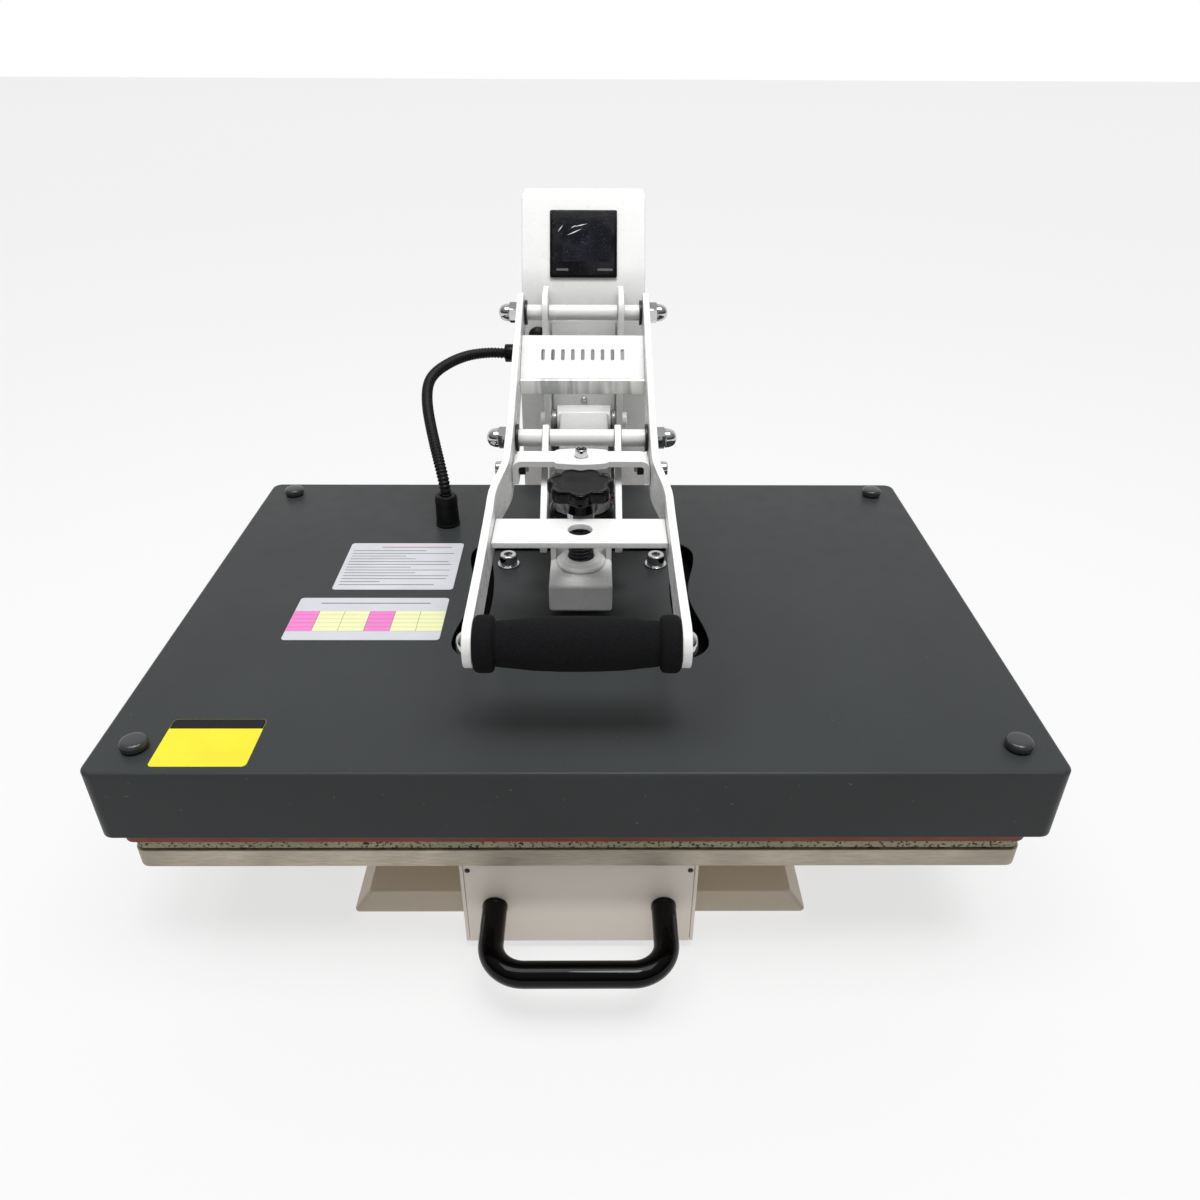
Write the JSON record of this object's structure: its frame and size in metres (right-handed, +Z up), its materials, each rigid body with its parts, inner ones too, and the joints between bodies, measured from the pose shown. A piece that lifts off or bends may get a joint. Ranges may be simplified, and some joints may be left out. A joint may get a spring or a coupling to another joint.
{
  "type": "heat press",
  "caption": "Clamshell heat press: flat heated upper platen on a lever-and-link arm, magnet latch, tilted control box on a rear column, pull-out padded lower platen.",
  "frame": {"origin": "centre of the footprint on the table, under the feet", "axes": "+Z up, -Y towards the operator (grip and drawer handle), +X to the press's right seen from the operator's side"},
  "size_m": [0.623, 0.65, 0.44],
  "materials": {
    "white_coat": "white powder coat, satin",
    "cream_coat": "off-white powder coat",
    "grey_coat": "dark grey powder coat, satin, fine texture",
    "black_plastic": "black moulded plastic, glossy",
    "rubber": "black rubber and ribbed sleeve",
    "foam": "black closed-cell grip foam",
    "speckled_foam": "greenish beige silicone sponge with dark specks",
    "bare_aluminium": "brushed, unpainted",
    "release_coat": "cast plate with a red-brown release coat",
    "chrome": "bright nickel and chrome",
    "zinc": "zinc plated steel",
    "black_steel": "black oxide thread, oiled",
    "display": "black glossy display window",
    "board": "green circuit board",
    "ceramic_wool": "ceramic wool slab"
  },
  "bodies": {
    "base": {"base_plate": "cream_coat", "foot_front_left": "rubber", "foot_front_right": "rubber", "foot_rear_left": "rubber", "foot_rear_right": "rubber", "drawer_support": "cream_coat", "slide_channel_left": "zinc", "slide_channel_right": "zinc", "upright_left": "white_coat", "upright_right": "white_coat", "column_shell": "white_coat", "rear_cover": "white_coat", "display_unit": "display", "circuit_board": "board", "power_inlet": "black_plastic", "top_rod": "zinc", "top_nut_left": "chrome", "top_nut_right": "chrome", "arm_shaft": "zinc", "opening_spring_left": "zinc", "opening_spring_right": "zinc", "conduit_gland": "black_plastic", "conduit": "rubber"},
    "handle": {"handle_plate_left": "white_coat", "handle_plate_right": "white_coat", "cross_panel": "white_coat", "cross_bar": "white_coat", "latch_bracket": "white_coat", "armature_plate": "zinc", "grip_rod": "chrome", "grip_foam": "foam", "mid_rod": "zinc", "mid_nut_left": "chrome", "mid_nut_right": "chrome"},
    "links": {"link_left": "white_coat", "link_right": "white_coat"},
    "arm": {"arm_beam": "white_coat", "magnet_base": "black_plastic", "electromagnet": "chrome", "screw_bush": "white_coat"},
    "pressure_knob": {"pressure_screw": "black_steel", "star_knob": "black_plastic"},
    "platen": {"cover": "grey_coat", "cap_front_left": "grey_coat", "cap_front_right": "grey_coat", "cap_rear_left": "grey_coat", "cap_rear_right": "grey_coat", "heat_platen": "release_coat", "heating_element": "zinc", "insulation": "ceramic_wool", "mounting_plate": "grey_coat", "guide_rail": "white_coat", "cable_boot": "rubber"},
    "drawer": {"drawer_frame": "white_coat", "lower_plate": "bare_aluminium", "foam_pad": "speckled_foam", "pull_handle": "black_plastic", "slide_runner_left": "zinc", "slide_runner_right": "zinc"},
    "switch": {"power_rocker": "black_plastic"}
  },
  "joints": [
    {"name": "handle_lift", "type": "hinge", "parent": "base", "child": "handle", "pos_m": [0, 0.191, 0.347], "axis": [-1, 0, 0], "range_deg": [0, 75]},
    {"name": "link_swing", "type": "hinge", "parent": "handle", "child": "links", "pos_m": [0, 0.035, 0.283], "axis": [-1, 0, 0], "range_deg": [-88.8, 0]},
    {"name": "arm_lift", "type": "hinge", "parent": "base", "child": "arm", "pos_m": [0, 0.2, 0.236], "axis": [-1, 0, 0], "range_deg": [0, 45.6], "deforming": ["conduit"]},
    {"name": "platen_height", "type": "slide", "parent": "arm", "child": "platen", "axis": [0, 0, 1], "range_m": [0, 0.004]},
    {"name": "knob_spin", "type": "hinge", "parent": "arm", "child": "pressure_knob", "pos_m": [0, -0.061, 0.28], "axis": [0, 0, 1], "range_deg": [0, 577]},
    {"name": "drawer_slide", "type": "slide", "parent": "base", "child": "drawer", "axis": [0, -1, 0], "range_m": [0, 0.3]},
    {"name": "power_switch", "type": "hinge", "parent": "base", "child": "switch", "pos_m": [0, 0.311, 0.098], "axis": [1, 0, 0], "range_deg": [0, 18]}
  ],
  "couplings": [
    {"joint": "arm_lift", "follows": "handle_lift", "ratio": 0.6065},
    {"joint": "link_swing", "follows": "handle_lift", "ratio": -1.1824},
    {"joint": "knob_spin", "follows": "platen_height", "rad_per_m": 2513.3}
  ]
}
